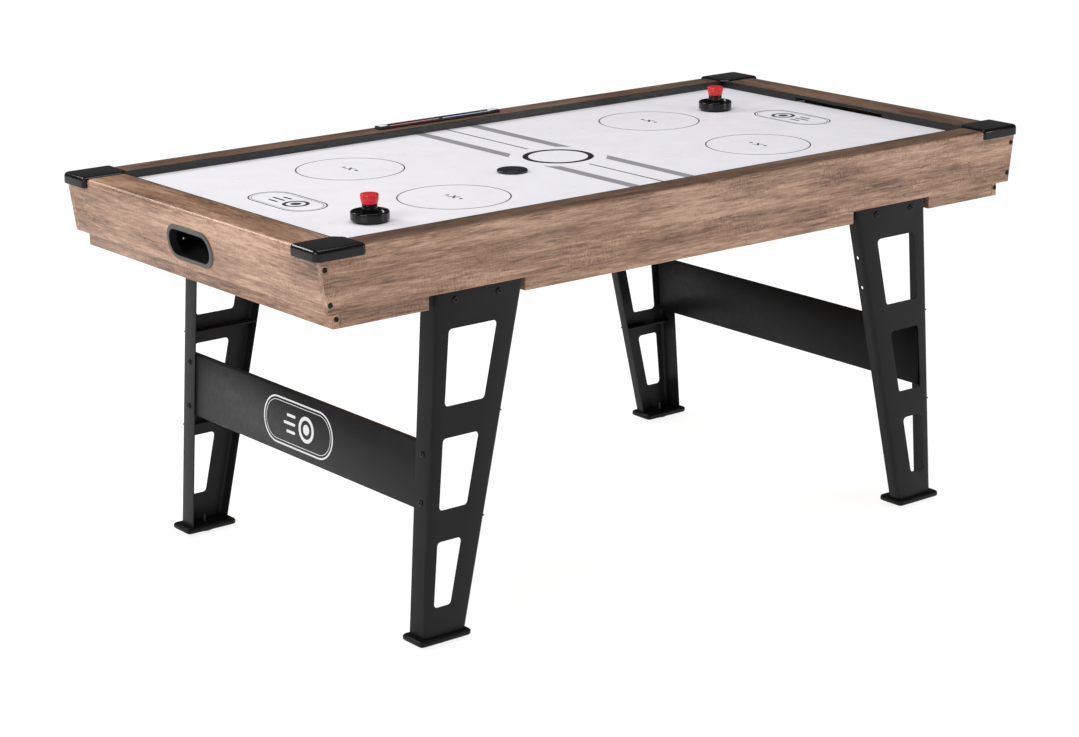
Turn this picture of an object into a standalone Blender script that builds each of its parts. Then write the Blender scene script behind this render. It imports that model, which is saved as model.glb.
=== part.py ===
"""Six-foot air hockey table on four pressed-steel legs.

Metres, +Z up. The origin is on the floor under the middle of the table.
+X runs along the table to its right end, -Y is the front side.
"""
import math

import bmesh
import bpy
from mathutils import Matrix, Vector

# Overall size
LENGTH = 1.829
WIDTH = 0.919
RAIL_TOP = 0.809
GAP = 0.0003
OVERCUT = 0.01

# Wooden cabinet
WOOD_HALF_WIDTH = 0.456
APRON_THICK = 0.0147
APRON_BOTTOM = 0.690
END_TOP_X = 0.906
END_BOTTOM_X = 0.889
END_APRON_THICK = 0.0177
EDGE_ROUND = 0.008
SKIRT_BOTTOM = 0.659
SKIRT_HALF_LENGTH = 0.871
SKIRT_THICK = 0.016
SKIRT_ROUND = 0.004
CABINET_HALF_WIDTH = WOOD_HALF_WIDTH - APRON_THICK - GAP
SIDE_BOARD_THICK = 0.018
SIDE_BOARD_TOP = 0.7807
END_BOARD_TOP = 0.6995

# Playing surface
FIELD_TOP = 0.793
FIELD_THICK = 0.012
FIELD_HALF_LENGTH = 0.817
FIELD_HALF_WIDTH = 0.392
FIELD_EDGE = 0.030
BUMPER_THICK = 0.003
GOAL_HALF_WIDTH = 0.140
GOAL_HEIGHT = 0.0095
GOAL_SILL = 0.004

# Puck return
RETURN_CENTRE_Z = 0.738
RETURN_HALF_WIDTH = 0.071
RETURN_HALF_HEIGHT = 0.026
RETURN_ROUND = 0.024
BEZEL_WIDTH = 0.010
BEZEL_THICK = 0.003
RETURN_MARGIN = 0.004
SLEEVE_DEPTH = 0.014
TRAY_INNER_X = 0.800
TRAY_OUTER_X = 0.8705
TRAY_HALF_WIDTH = 0.150
TRAY_BOTTOM = 0.700
TRAY_WALL = 0.003
TRAY_SLOPE = 0.012

# Corner caps
CAP_TOP = 0.813
CAP_BOTTOM = 0.791
CAP_LENGTH = 0.112
CAP_WIDTH = 0.088
CAP_ROUND = 0.014
CAP_CHAMFER = 0.018
CAP_EDGE = 0.008
CAP_INNER_ROUND = 0.009
CAP_LOWER_EDGE = 0.001

# Legs: pressed channels, wider at the top
SHEET = 0.0025
LEG_FACE_Y = CABINET_HALF_WIDTH + GAP + SHEET
LEG_TOP = 0.6895
LEG_BOTTOM = 0.0196
LEG_OUTER_TOP_X = 0.6434
LEG_OUTER_BOTTOM_X = 0.6886
LEG_INNER_TOP_X = 0.4377
LEG_INNER_BOTTOM_X = 0.5894
LEG_BEND = 0.009
OUTER_FLANGE = 0.048
INNER_FLANGE = 0.028
WINDOW_HEIGHTS = ((0.468, 0.616), (0.267, 0.407), (0.076, 0.206))
WINDOW_OUTER_TOP_MARGIN = 0.032
WINDOW_OUTER_BOTTOM_MARGIN = 0.020
WINDOW_INNER_MARGIN = 0.048
WINDOW_ROUND = 0.008
RIB_HEIGHTS = (0.4375, 0.2365)
RIB_DEPTH = 0.026
FLANGE_HOLE_HEIGHTS = (0.579, 0.512)
FLANGE_HOLE_RADIUS = 0.004
FLANGE_HOLE_DEPTH = 0.018

# Feet
FOOT_LOW_X, FOOT_HIGH_X = 0.583, 0.704
FOOT_LOW_Y, FOOT_HIGH_Y = 0.388, 0.4548
FOOT_BOTTOM = 0.0073
FOOT_TOP = LEG_BOTTOM - GAP
FOOT_ROUND = 0.009
LEVELER_X = 0.6445
LEVELER_Y = 0.4215
LEVELER_RADIUS = 0.018
LEVELER_HEIGHT = 0.007
LEVELER_EDGE = 0.002
STEM_RADIUS = 0.004
STEM_TOP = 0.034

# Stretchers and beams
STRETCHER_LOW, STRETCHER_HIGH = 0.266, 0.396
STRETCHER_THICK = 0.015
STRETCHER_HALF_LENGTH = 0.430
BEAM_LOW_X, BEAM_HIGH_X = 0.456, 0.634
BEAM_BOTTOM, BEAM_TOP = 0.661, 0.6895
NOTCH_LOW_X, NOTCH_HIGH_X = 0.434, 0.658
NOTCH_TOP = BEAM_TOP + 0.002
RIB_BOARD_X = 0.545
RIB_BOARD_THICK = 0.018
CHAMBER_BOTTOM = 0.742
CHAMBER_HALF_LENGTH = 0.790
CHAMBER_HALF_WIDTH = 0.415
CHAMBER_WALL = 0.012
CHAMBER_FLOOR = 0.006

# Blower
BLOWER_RADIUS = 0.100
BLOWER_WALL = 0.003
BLOWER_TOP = CHAMBER_BOTTOM - GAP
BLOWER_BOTTOM = 0.672
OUTLET_RADIUS = 0.050
GRILLE_THICK = 0.003
GRILLE_SLOTS = 10
SLOT_INNER, SLOT_OUTER, SLOT_HALF = 0.045, 0.085, 0.006
MOTOR_RADIUS = 0.028
MOTOR_TOP = 0.700
SHAFT_RADIUS = 0.003
SHAFT_TOP = 0.722
IMPELLER_RADIUS = 0.064
IMPELLER_LOW, IMPELLER_HIGH = 0.703, 0.732
IMPELLER_BLADES = 10
IMPELLER_HUB = 0.012
BLADE_THICK = 0.0024

# Power box under the air chamber
PANEL_X = 0.200
PANEL_Y = 0.360
PANEL_FACE = 0.690
PANEL_HALF_LENGTH = 0.034
PANEL_HALF_WIDTH = 0.017
PANEL_WALL = 0.003
PANEL_EAR = 0.016
EAR_HOLE_RADIUS = 0.0025
BAY_HALF = 0.013
BAY_DEPTH = 0.021
SWITCH_OFFSET = -0.017
INLET_OFFSET = 0.017
SWITCH_HINGE_DEPTH = 0.0025
SOCKET_HALF = 0.0105
SOCKET_SLOT_HALF = 0.006
SOCKET_DEPTH = 0.014
SOCKET_WALL = 0.002
SOCKET_PROUD = 0.001
INLET_DEPTH = 0.019

# Score counter on the back rail
SCORE_Y = 0.424
SCORE_HALF_LENGTH = 0.164
SCORE_HALF_WIDTH = 0.011
SCORE_BASE = 0.002
SCORE_LIP = 0.007
SCORE_WALL = 0.003
SCORE_STOP = 0.004
SLIDER_HALF_LENGTH = 0.009
SLIDER_START = 0.150
SLIDER_PROUD = 0.002

# Loose playing pieces
PUSHER_RADIUS = 0.0375
PUSHER_PAD = 0.0015
PUSHER_RIM = 0.0205
PUSHER_NECK_RADIUS = 0.015
PUSHER_NECK_TOP = 0.033
PUSHER_HEIGHT = 0.0535
PUSHER_PLACES = {"left": (-0.652, -0.249), "right": (0.607, 0.184)}
PUCK_PLACE = (-0.170, -0.063)
PUCK_RADIUS = 0.0318
PUCK_THICK = 0.0055

ENDS = {"left": -1, "right": 1}
SIDES = {"front": -1, "back": 1}

for old in list(bpy.data.objects):
    bpy.data.objects.remove(old, do_unlink=True)


# ---------------------------------------------------------------- helpers

def material(name, colour, roughness, metallic=0.0):
    """A plain Principled material."""
    mat = bpy.data.materials.new(name)
    mat.use_nodes = True
    shader = mat.node_tree.nodes["Principled BSDF"]
    shader.inputs["Base Color"].default_value = (*colour, 1.0)
    shader.inputs["Roughness"].default_value = roughness
    shader.inputs["Metallic"].default_value = metallic
    mat.diffuse_color = (*colour, 1.0)
    return mat


def rounded(corners, radius, steps=4):
    """A polygon's outline with each corner turned into an arc of the given radius."""
    outline = []
    count = len(corners)
    radii = radius if isinstance(radius, (list, tuple)) else [radius] * count
    for i, corner in enumerate(corners):
        here = Vector(corner)
        if radii[i] == 0:
            outline.append(tuple(here))
            continue
        back = (Vector(corners[i - 1]) - here).normalized()
        ahead = (Vector(corners[(i + 1) % count]) - here).normalized()
        half = back.angle(ahead) / 2
        centre = here + (back + ahead).normalized() * radii[i] / math.sin(half)
        start = here + back * radii[i] / math.tan(half) - centre
        end = here + ahead * radii[i] / math.tan(half) - centre
        turn = math.atan2(start.x * end.y - start.y * end.x, start.dot(end))
        for k in range(steps + 1):
            outline.append(tuple(centre + Matrix.Rotation(turn * k / steps, 2) @ start))
    return outline


def rectangle(low_u, low_v, high_u, high_v):
    """The four corners of a rectangle."""
    return [(low_u, low_v), (high_u, low_v), (high_u, high_v), (low_u, high_v)]


def circle(radius, count, centre=(0.0, 0.0)):
    """Points round a circle."""
    turns = [math.tau * k / count for k in range(count)]
    return [(centre[0] + radius * math.cos(t), centre[1] + radius * math.sin(t)) for t in turns]


def loft(*rings):
    """A closed solid through rings of equal length."""
    bm = bmesh.new()
    layers = [[bm.verts.new(p) for p in ring] for ring in rings]
    bm.faces.new(layers[0])
    bm.faces.new(layers[-1])
    for low, high in zip(layers, layers[1:]):
        for i in range(len(low)):
            j = (i + 1) % len(low)
            bm.faces.new((low[i], low[j], high[j], high[i]))
    return bm


def prism(outline, low, high, plane="XY"):
    """An outline in one plane, swept from low to high along the third axis."""
    place = {
        "XY": lambda u, v, w: (u, v, w),
        "XZ": lambda u, v, w: (u, w, v),
        "YZ": lambda u, v, w: (w, u, v),
    }[plane]
    return loft([place(u, v, low) for u, v in outline], [place(u, v, high) for u, v in outline])


def turned(profile, count, bore=False):
    """A profile of (radius, height) points turned about Z; with a bore it is a closed loop."""
    bm = bmesh.new()
    rings = []
    for radius, height in profile:
        if radius == 0:
            rings.append([bm.verts.new((0, 0, height))])
            continue
        rings.append([bm.verts.new((x, y, height)) for x, y in circle(radius, count)])
    pairs = list(zip(rings, rings[1:]))
    if bore:
        pairs.append((rings[-1], rings[0]))
    for first, second in pairs:
        for i in range(count):
            j = (i + 1) % count
            corners = [first[i % len(first)], first[j % len(first)],
                       second[j % len(second)], second[i % len(second)]]
            bm.faces.new(list(dict.fromkeys(corners)))
    return bm


def box(low, high):
    """A box between two corners."""
    return prism(rectangle(low[0], low[1], high[0], high[1]), low[2], high[2])


def add(name, bm, mat, location=(0.0, 0.0, 0.0), round_shape=False):
    """Make an object from a bmesh, with its normals pointing out."""
    bmesh.ops.recalc_face_normals(bm, faces=bm.faces)
    mesh = bpy.data.meshes.new(name)
    bm.to_mesh(mesh)
    bm.free()
    if round_shape:
        mesh.shade_smooth()
        mesh.set_sharp_from_angle(angle=math.radians(35))
    if mat:
        mesh.materials.append(mat)
    obj = bpy.data.objects.new(name, mesh)
    obj.location = location
    bpy.context.scene.collection.objects.link(obj)
    return obj


def bevel(obj, width, segments=2):
    """Round the sharp edges of a piece."""
    mod = obj.modifiers.new("bevel", "BEVEL")
    mod.width = width
    mod.segments = segments
    mod.limit_method = "ANGLE"
    mod.angle_limit = math.radians(40)


def combine(obj, name, bm, operation):
    """Join or cut an object with a hidden helper shape."""
    helper = add(name, bm, None)
    helper.hide_render = True
    helper.display_type = "WIRE"
    mod = obj.modifiers.new(name, "BOOLEAN")
    mod.operation = operation
    mod.solver = "EXACT"
    mod.object = helper
    return helper


def cut(obj, name, bm):
    """Take a shape out of an object."""
    return combine(obj, name, bm, "DIFFERENCE")


def join(obj, name, bm):
    """Add a shape to an object."""
    return combine(obj, name, bm, "UNION")


WOOD = material("wood_laminate", (0.40, 0.28, 0.20), 0.5)
BOARD = material("raw_board", (0.52, 0.40, 0.27), 0.8)
BLACK_WOOD = material("black_board", (0.02, 0.02, 0.02), 0.4)
WHITE = material("playfield_white", (0.83, 0.83, 0.85), 0.25)
BLACK_METAL = material("black_rail_metal", (0.02, 0.02, 0.02), 0.35, 0.6)
GLOSS_BLACK = material("gloss_black_plastic", (0.01, 0.01, 0.01), 0.15)
MATTE_BLACK = material("matte_black_plastic", (0.03, 0.03, 0.03), 0.55)
LEG_STEEL = material("black_leg_steel", (0.03, 0.03, 0.03), 0.45)
RED = material("red_plastic", (0.75, 0.02, 0.03), 0.3)
CLEAR_WHITE = material("slider_white", (0.85, 0.85, 0.85), 0.3)
FELT = material("felt", (0.05, 0.05, 0.05), 0.95)
MOTOR_STEEL = material("motor_steel", (0.5, 0.5, 0.5), 0.35, 1.0)


# ---------------------------------------------------------------- cabinet

def end_face_x(z):
    """Distance of the sloping end face from the middle, at a height."""
    slope = (END_TOP_X - END_BOTTOM_X) / (RAIL_TOP - APRON_BOTTOM)
    return END_BOTTOM_X + (z - APRON_BOTTOM) * slope


def side_rail(side, sign):
    """Side apron and the top rail that is folded from it, with a rounded outer edge."""
    inside = WOOD_HALF_WIDTH - APRON_THICK
    corners = [(WOOD_HALF_WIDTH, APRON_BOTTOM), (WOOD_HALF_WIDTH, RAIL_TOP),
               (inside, RAIL_TOP), (inside, APRON_BOTTOM)]
    section = [(sign * y, z) for y, z in rounded(corners, [0, EDGE_ROUND, 0, 0])]
    bm = prism(section, -LENGTH / 2, LENGTH / 2, "YZ")
    for end in ENDS.values():
        outward = Vector((end * (RAIL_TOP - APRON_BOTTOM), 0, END_BOTTOM_X - END_TOP_X))
        cut_edges = bmesh.ops.bisect_plane(
            bm, geom=bm.verts[:] + bm.edges[:] + bm.faces[:],
            plane_co=(end * END_BOTTOM_X, 0, APRON_BOTTOM), plane_no=outward, clear_outer=True)
        loop = [e for e in cut_edges["geom_cut"] if isinstance(e, bmesh.types.BMEdge)]
        bmesh.ops.contextual_create(bm, geom=loop)
    rail = add(f"side_rail_{side}", bm, WOOD)
    rail_end = FIELD_HALF_LENGTH + BUMPER_THICK
    inner = sign * (FIELD_HALF_WIDTH + BUMPER_THICK + GAP)
    outer = sign * (WOOD_HALF_WIDTH - APRON_THICK / 2)
    low, high = sorted((inner, outer))
    join(rail, f"rail_top_{side}", box((-rail_end, low, FIELD_TOP + GAP), (rail_end, high, RAIL_TOP)))
    return rail


def end_rail(end, sign):
    """Sloping end apron and its wide top rail, open for the goal and the puck return."""
    inner = FIELD_HALF_LENGTH + BUMPER_THICK + GAP
    under = FIELD_TOP + GAP
    corners = [(END_BOTTOM_X, APRON_BOTTOM), (END_TOP_X, RAIL_TOP), (inner, RAIL_TOP), (inner, under),
               (end_face_x(under) - END_APRON_THICK, under), (END_BOTTOM_X - END_APRON_THICK, APRON_BOTTOM)]
    section = [(sign * x, z) for x, z in rounded(corners, [0, EDGE_ROUND, 0, 0, 0, 0])]
    half = CABINET_HALF_WIDTH
    rail = add(f"end_rail_{end}", prism(section, -half, half, "XZ"), WOOD)
    slot = rectangle(inner - OVERCUT, under - OVERCUT, end_face_x(under) - END_APRON_THICK,
                     FIELD_TOP + GOAL_HEIGHT)
    cut(rail, f"goal_slot_{end}",
        prism([(sign * x, z) for x, z in slot], -GOAL_HALF_WIDTH, GOAL_HALF_WIDTH, "XZ"))
    opening = return_outline(RETURN_MARGIN)
    low, high = sorted((sign * SKIRT_HALF_LENGTH, sign * LENGTH / 2))
    cut(rail, f"return_hole_{end}", prism(opening, low, high + OVERCUT, "YZ"))
    return rail


def return_outline(grow):
    """Rounded opening where pucks come out, grown outwards by a margin."""
    corners = rectangle(-RETURN_HALF_WIDTH - grow, RETURN_CENTRE_Z - RETURN_HALF_HEIGHT - grow,
                        RETURN_HALF_WIDTH + grow, RETURN_CENTRE_Z + RETURN_HALF_HEIGHT + grow)
    return rounded(corners, RETURN_ROUND + grow, 5)


def return_bezel(end, sign):
    """Black ring that lines the puck-return opening, lying on the sloping face."""
    def ring(grow, out):
        return [(sign * (end_face_x(z) + out), y, z) for y, z in return_outline(grow)]

    face = loft(ring(BEZEL_WIDTH, GAP), ring(BEZEL_WIDTH - BEZEL_THICK / 2, BEZEL_THICK))
    bezel = add(f"return_bezel_{end}", face, MATTE_BLACK)
    sleeve = RETURN_MARGIN - GAP
    join(bezel, f"bezel_sleeve_{end}", loft(ring(sleeve, -SLEEVE_DEPTH), ring(sleeve, BEZEL_THICK / 2)))
    cut(bezel, f"bezel_hole_{end}", loft(ring(0.0, -2 * SLEEVE_DEPTH), ring(0.0, 2 * SLEEVE_DEPTH)))
    return bezel


def cabinet_side(side, sign):
    """Structural side board; its lower edge shows as the skirt and is notched for the legs."""
    length = SKIRT_HALF_LENGTH - SKIRT_THICK - GAP
    outline = [(-length, SKIRT_BOTTOM)]
    for low, high in ((-NOTCH_HIGH_X, -NOTCH_LOW_X), (NOTCH_LOW_X, NOTCH_HIGH_X)):
        outline += [(low, SKIRT_BOTTOM), (low, NOTCH_TOP), (high, NOTCH_TOP), (high, SKIRT_BOTTOM)]
    outline += [(length, SKIRT_BOTTOM), (length, SIDE_BOARD_TOP), (-length, SIDE_BOARD_TOP)]
    low, high = sorted((sign * CABINET_HALF_WIDTH, sign * (CABINET_HALF_WIDTH - SIDE_BOARD_THICK)))
    return add(f"cabinet_side_{side}", prism(outline, low, high, "XZ"), WOOD)


def cabinet_end(end, sign):
    """Low end board of the cabinet, with small rounded ends."""
    low, high = sorted((sign * SKIRT_HALF_LENGTH, sign * (SKIRT_HALF_LENGTH - SKIRT_THICK)))
    half = CABINET_HALF_WIDTH
    outer, inner = (high, low) if sign > 0 else (low, high)
    corners = [(outer, -half), (outer, half), (inner, half), (inner, -half)]
    outline = rounded(corners, [SKIRT_ROUND, SKIRT_ROUND, 0, 0], 3)
    return add(f"cabinet_end_{end}", prism(outline, SKIRT_BOTTOM, END_BOARD_TOP), WOOD)


def cap_ring(end_sign, side_sign, inset, z):
    """Outline of a corner cap at a height, drawn in by an inset."""
    out_x, out_y = LENGTH / 2 - inset, WIDTH / 2 - inset
    in_x, in_y = LENGTH / 2 - CAP_LENGTH + inset, WIDTH / 2 - CAP_WIDTH + inset
    chamfer = CAP_CHAMFER - (2 - math.sqrt(2)) * inset
    corners = [(out_x, out_y), (in_x, out_y), (in_x, in_y + chamfer), (in_x + chamfer, in_y), (out_x, in_y)]
    radii = [CAP_ROUND - inset] + [CAP_INNER_ROUND - inset] * 4
    return [(end_sign * x, side_sign * y, z) for x, y in rounded(corners, radii, 4)]


def corner_cap(end, end_sign, side, side_sign):
    """Glossy cap that wraps one corner of the rails, with a rounded top edge."""
    rings = [cap_ring(end_sign, side_sign, CAP_LOWER_EDGE, CAP_BOTTOM),
             cap_ring(end_sign, side_sign, 0.0, CAP_BOTTOM + CAP_LOWER_EDGE)]
    for step in range(4):
        turn = math.pi / 6 * step
        rings.append(cap_ring(end_sign, side_sign, CAP_EDGE * (1 - math.cos(turn)),
                              CAP_TOP - CAP_EDGE * (1 - math.sin(turn))))
    low_x, high_x = sorted((0.0, end_sign * (END_TOP_X + GAP)))
    low_y, high_y = sorted((0.0, side_sign * (WOOD_HALF_WIDTH + GAP)))
    cap = add(f"corner_cap_{side}_{end}", loft(*rings), GLOSS_BLACK, round_shape=True)
    hollow = box((low_x, low_y, CAP_BOTTOM - OVERCUT), (high_x, high_y, RAIL_TOP + GAP))
    cut(cap, f"cap_hollow_{side}_{end}", hollow)
    return cap


def playfield():
    """White playing board, cut back at the goals so the puck can drop."""
    reach = FIELD_HALF_LENGTH + FIELD_EDGE
    sill = FIELD_HALF_LENGTH + GOAL_SILL
    half = FIELD_HALF_WIDTH + FIELD_EDGE
    goal = GOAL_HALF_WIDTH
    outline = [(-reach, -half), (reach, -half), (reach, -goal), (sill, -goal), (sill, goal), (reach, goal),
               (reach, half), (-reach, half), (-reach, goal), (-sill, goal), (-sill, -goal), (-reach, -goal)]
    return add("playfield", prism(outline, FIELD_TOP - FIELD_THICK, FIELD_TOP), WHITE)


def bumpers():
    """Black metal strips that the puck bounces from; the end ones are open at the goal."""
    low, high = FIELD_TOP + GAP, RAIL_TOP
    for side, sign in SIDES.items():
        near, far = sorted((sign * FIELD_HALF_WIDTH, sign * (FIELD_HALF_WIDTH + BUMPER_THICK)))
        length = FIELD_HALF_LENGTH + BUMPER_THICK
        add(f"bumper_{side}", box((-length, near, low), (length, far, high)), BLACK_METAL)
    for end, sign in ENDS.items():
        near, far = sorted((sign * FIELD_HALF_LENGTH, sign * (FIELD_HALF_LENGTH + BUMPER_THICK)))
        half, goal = FIELD_HALF_WIDTH - GAP, GOAL_HALF_WIDTH
        top = FIELD_TOP + GOAL_HEIGHT
        outline = [(-half, low), (-goal, low), (-goal, top), (goal, top), (goal, low), (half, low),
                   (half, high), (-half, high)]
        add(f"bumper_{end}", prism(outline, near, far, "YZ"), BLACK_METAL)


def return_tray(end, sign):
    """Plastic tray under the goal; its floor slopes down to the puck-return opening."""
    wall = TRAY_WALL
    top = FIELD_TOP - FIELD_THICK - GAP
    low, high = sorted((sign * TRAY_INNER_X, sign * TRAY_OUTER_X))
    body = box((low, -TRAY_HALF_WIDTH, TRAY_BOTTOM), (high, TRAY_HALF_WIDTH, top))
    tray = add(f"return_tray_{end}", body, MATTE_BLACK)
    half = TRAY_HALF_WIDTH - wall
    space = [(TRAY_INNER_X + wall, TRAY_BOTTOM + TRAY_SLOPE), (TRAY_OUTER_X + OVERCUT, TRAY_BOTTOM + wall),
             (TRAY_OUTER_X + OVERCUT, top + OVERCUT), (TRAY_INNER_X + wall, top + OVERCUT)]
    cut(tray, f"tray_space_{end}", prism([(sign * x, z) for x, z in space], -half, half, "XZ"))
    return tray


def under_frame():
    """Cross beams that carry the legs, ribs that carry the playfield, and the air chamber."""
    half = CABINET_HALF_WIDTH
    for end, sign in ENDS.items():
        low, high = sorted((sign * BEAM_LOW_X, sign * BEAM_HIGH_X))
        add(f"leg_beam_{end}", box((low, -half, BEAM_BOTTOM), (high, half, BEAM_TOP)), BOARD)
        low, high = sorted((sign * RIB_BOARD_X, sign * (RIB_BOARD_X + RIB_BOARD_THICK)))
        reach = half - SIDE_BOARD_THICK - GAP
        rib = box((low, -reach, BEAM_TOP + GAP), (high, reach, CHAMBER_BOTTOM - GAP))
        add(f"support_rib_{end}", rib, BOARD)
    top = FIELD_TOP - FIELD_THICK - GAP
    chamber = add("air_chamber", box((-CHAMBER_HALF_LENGTH, -CHAMBER_HALF_WIDTH, CHAMBER_BOTTOM),
                                     (CHAMBER_HALF_LENGTH, CHAMBER_HALF_WIDTH, top)), BOARD)
    inner_x, inner_y = CHAMBER_HALF_LENGTH - CHAMBER_WALL, CHAMBER_HALF_WIDTH - CHAMBER_WALL
    floor = CHAMBER_BOTTOM + CHAMBER_FLOOR
    cut(chamber, "chamber_space", box((-inner_x, -inner_y, floor), (inner_x, inner_y, top + OVERCUT)))
    inlet_hole = prism(circle(OUTLET_RADIUS, 24), CHAMBER_BOTTOM - OVERCUT, floor + OVERCUT)
    cut(chamber, "chamber_inlet", inlet_hole)


# ---------------------------------------------------------------- legs

def leg_edges(z):
    """Distances of the leg's outer and inner edges from the middle, at a height."""
    share = (z - LEG_BOTTOM) / (LEG_TOP - LEG_BOTTOM)
    outer = LEG_OUTER_BOTTOM_X + (LEG_OUTER_TOP_X - LEG_OUTER_BOTTOM_X) * share
    inner = LEG_INNER_BOTTOM_X + (LEG_INNER_TOP_X - LEG_INNER_BOTTOM_X) * share
    return outer, inner


def leg_section(z):
    """Channel section at a height: outer flange, face plate and inner flange, bent from one sheet."""
    outer, inner = leg_edges(z)
    face = LEG_FACE_Y

    def bent(depth):
        corners = [(outer - depth, face - OUTER_FLANGE), (outer - depth, face - depth),
                   (inner + depth, face - depth), (inner + depth, face - INNER_FLANGE)]
        return rounded(corners, [0, LEG_BEND - depth, LEG_BEND - depth, 0], 3)

    return [(x, y, z) for x, y in bent(0.0) + bent(SHEET)[::-1]]


def leg_window(low, high):
    """Rounded trapezoid window in the face plate."""
    span = WINDOW_HEIGHTS[0][1] - WINDOW_HEIGHTS[-1][0]

    def edges(z):
        outer, inner = leg_edges(z)
        share = (z - WINDOW_HEIGHTS[-1][0]) / span
        margin = WINDOW_OUTER_BOTTOM_MARGIN + (WINDOW_OUTER_TOP_MARGIN - WINDOW_OUTER_BOTTOM_MARGIN) * share
        return outer - margin, inner + WINDOW_INNER_MARGIN

    corners = [(edges(low)[1], low), (edges(low)[0], low), (edges(high)[0], high), (edges(high)[1], high)]
    return rounded(corners, WINDOW_ROUND, 3)


def placed(bm, end_sign, side_sign):
    """Mirror a leg shape, made in the back right quarter, into its own quarter."""
    bmesh.ops.scale(bm, verts=bm.verts, vec=(end_sign, side_sign, 1))
    return bm


def leg(end, end_sign, side, side_sign):
    """Pressed-steel leg with three windows, two welded ribs and two flange holes."""
    name = f"leg_{side}_{end}"
    body = add(name, placed(loft(leg_section(LEG_BOTTOM), leg_section(LEG_TOP)), end_sign, side_sign),
               LEG_STEEL, round_shape=True)
    for i, height in enumerate(RIB_HEIGHTS):
        outer, inner = leg_edges(height)
        face = LEG_FACE_Y - SHEET / 2
        rib = box((inner + SHEET / 2, face - RIB_DEPTH, height - SHEET / 2),
                  (outer - SHEET / 2, face, height + SHEET / 2))
        join(body, f"{name}_rib_{i}", placed(rib, end_sign, side_sign))
    for i, (low, high) in enumerate(WINDOW_HEIGHTS):
        window = prism(leg_window(low, high), LEG_FACE_Y - OVERCUT, LEG_FACE_Y + OVERCUT, "XZ")
        cut(body, f"{name}_window_{i}", placed(window, end_sign, side_sign))
    for i, height in enumerate(FLANGE_HOLE_HEIGHTS):
        inner = leg_edges(height)[1]
        centre = (LEG_FACE_Y - FLANGE_HOLE_DEPTH, height)
        hole = prism(circle(FLANGE_HOLE_RADIUS, 10, centre), inner - OVERCUT, inner + OVERCUT, "YZ")
        cut(body, f"{name}_hole_{i}", placed(hole, end_sign, side_sign))
    return body


def foot(end, end_sign, side, side_sign):
    """Foot plate under a leg, and the screw leveler in its middle."""
    corners = rectangle(FOOT_LOW_X, FOOT_LOW_Y, FOOT_HIGH_X, FOOT_HIGH_Y)
    plate_mesh = prism(rounded(corners, FOOT_ROUND, 3), FOOT_BOTTOM, FOOT_TOP)
    plate = add(f"foot_plate_{side}_{end}", placed(plate_mesh, end_sign, side_sign), MATTE_BLACK)
    bevel(plate, 0.003, 1)
    at = (end_sign * LEVELER_X, side_sign * LEVELER_Y)
    cut(plate, f"foot_hole_{side}_{end}", prism(circle(STEM_RADIUS + GAP, 12, at), 0.0, FOOT_TOP + OVERCUT))
    rim = LEVELER_RADIUS - LEVELER_EDGE
    profile = [(0, 0), (rim, 0), (LEVELER_RADIUS, LEVELER_EDGE),
               (LEVELER_RADIUS, LEVELER_HEIGHT - LEVELER_EDGE), (rim, LEVELER_HEIGHT),
               (STEM_RADIUS, LEVELER_HEIGHT), (STEM_RADIUS, STEM_TOP), (0, STEM_TOP)]
    add(f"leveler_{side}_{end}", turned(profile, 12), MATTE_BLACK, (*at, 0.0), round_shape=True)


def stretcher(end, sign):
    """Board between the two legs of one end, bolted inside their outer flanges."""
    clear = SHEET + 2 * GAP
    corners = []
    for z, inset in ((STRETCHER_LOW, clear), (STRETCHER_HIGH, clear),
                     (STRETCHER_HIGH, clear + STRETCHER_THICK), (STRETCHER_LOW, clear + STRETCHER_THICK)):
        corners.append((sign * (leg_edges(z)[0] - inset), z))
    shape = prism(corners, -STRETCHER_HALF_LENGTH, STRETCHER_HALF_LENGTH, "XZ")
    board = add(f"stretcher_{end}", shape, BLACK_WOOD)
    bevel(board, 0.0012, 1)
    return board


# ---------------------------------------------------------------- blower and power

def blower():
    """Fan housing under the air chamber, with its grille, motor and turning impeller."""
    wall, radius = BLOWER_WALL, BLOWER_RADIUS
    profile = [(OUTLET_RADIUS, BLOWER_TOP), (radius, BLOWER_TOP), (radius, BLOWER_BOTTOM),
               (radius - wall, BLOWER_BOTTOM), (radius - wall, BLOWER_TOP - wall),
               (OUTLET_RADIUS, BLOWER_TOP - wall)]
    add("blower_housing", turned(profile, 32, bore=True), MATTE_BLACK, round_shape=True)
    top = BLOWER_BOTTOM - GAP
    grille = add("blower_grille", prism(circle(radius, 32), top - GRILLE_THICK, top), MATTE_BLACK)
    for k in range(GRILLE_SLOTS):
        outline = rounded(rectangle(SLOT_INNER, -SLOT_HALF, SLOT_OUTER, SLOT_HALF), SLOT_HALF - 0.001, 2)
        slot = prism(outline, top - OVERCUT, top + OVERCUT)
        bmesh.ops.rotate(slot, verts=slot.verts, cent=(0, 0, 0),
                         matrix=Matrix.Rotation(math.tau * k / GRILLE_SLOTS, 3, "Z"))
        cut(grille, f"grille_slot_{k}", slot)
    motor = [(0, BLOWER_BOTTOM), (MOTOR_RADIUS, BLOWER_BOTTOM), (MOTOR_RADIUS, MOTOR_TOP),
             (SHAFT_RADIUS, MOTOR_TOP), (SHAFT_RADIUS, SHAFT_TOP), (0, SHAFT_TOP)]
    add("blower_motor", turned(motor, 20), MOTOR_STEEL, round_shape=True)
    impeller()


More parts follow.
